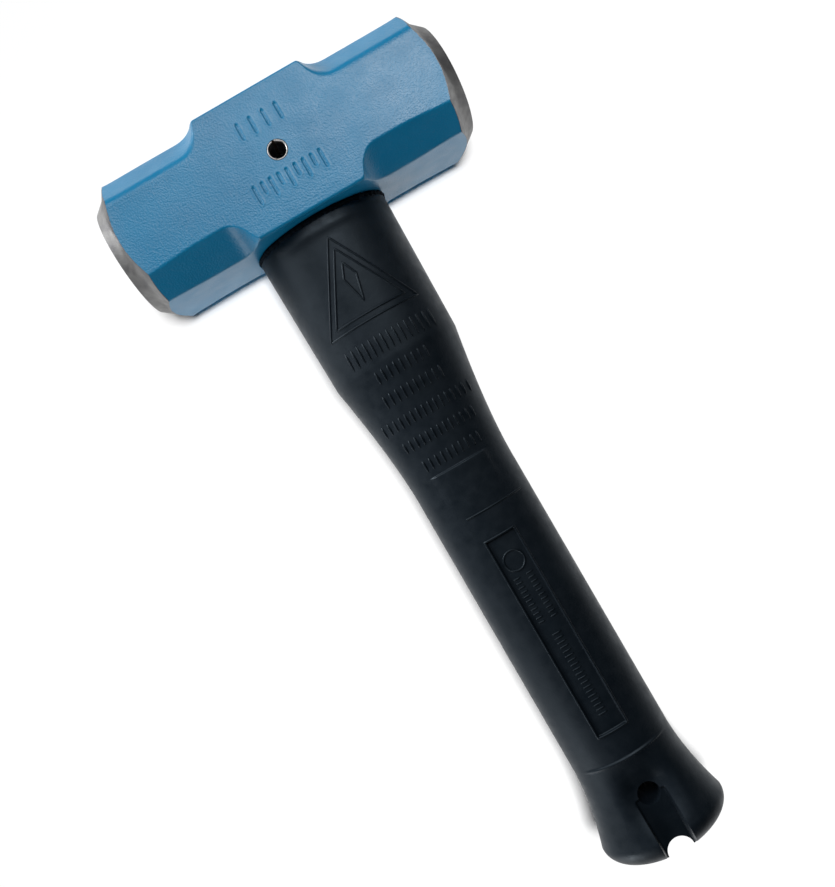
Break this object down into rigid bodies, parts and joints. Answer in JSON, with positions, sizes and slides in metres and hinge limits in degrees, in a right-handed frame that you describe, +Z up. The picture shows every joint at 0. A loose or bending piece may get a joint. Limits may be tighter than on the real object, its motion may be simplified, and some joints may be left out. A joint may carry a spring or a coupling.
{
  "type": "sledgehammer",
  "caption": "Short-handled sledgehammer with a chamfered square steel head pinned to a rubber-covered, steel-cored handle with a flared butt and a lanyard hole.",
  "frame": {"origin": "under the middle of the whole hammer, on the surface that it lies on, with the back cheek of the head down", "axes": "+X along the striking axis of the head, +Y along the handle from the butt to the head, +Z up out of the front cheek"},
  "size_m": [0.1308, 0.3006, 0.0464],
  "materials": {
    "head_paint": "satin blue paint over forged steel, with both ends turned bare",
    "spring_steel": "bright spring steel",
    "core_steel": "drawn steel bar",
    "grip_rubber": "satin moulded black rubber"
  },
  "bodies": {
    "root": {"hammer_head": "head_paint", "spring_pin": "spring_steel", "safety_plate": "core_steel", "core_rod_1": "core_steel", "core_rod_2": "core_steel", "core_rod_3": "core_steel", "core_rod_4": "core_steel", "core_rod_5": "core_steel", "core_rod_6": "core_steel", "neck_spacer": "core_steel", "mid_spacer": "core_steel", "end_plate": "core_steel", "handle_grip": "grip_rubber"}
  },
  "joints": []
}
